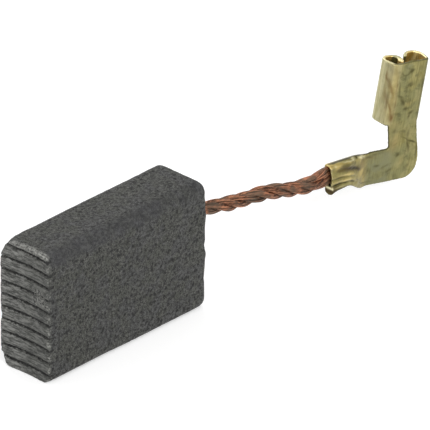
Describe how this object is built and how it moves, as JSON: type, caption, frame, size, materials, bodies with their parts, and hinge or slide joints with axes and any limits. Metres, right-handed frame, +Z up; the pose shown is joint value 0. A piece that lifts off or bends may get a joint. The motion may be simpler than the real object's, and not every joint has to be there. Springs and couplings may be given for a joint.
{
  "type": "carbon brush",
  "caption": "Rectangular carbon block with a grooved concave contact face and a laid copper flex that ends in a right-angle flag terminal of folded brass.",
  "frame": {"origin": "centre of the carbon block's underside", "axes": "+X from the contact face to the flex, +Y across the block's thickness, +Z up the block"},
  "size_m": [0.0533, 0.0064, 0.0157],
  "materials": {
    "carbon": "matte, grainy",
    "contact_powder": "matte, granular",
    "copper": "bare copper, tarnished",
    "brass": "bare brass, stained"
  },
  "bodies": {
    "root": {"carbon_block": "carbon", "contact_plug": "contact_powder", "strand_1": "copper", "strand_2": "copper", "strand_3": "copper", "strand_4": "copper", "terminal": "brass"}
  },
  "joints": []
}
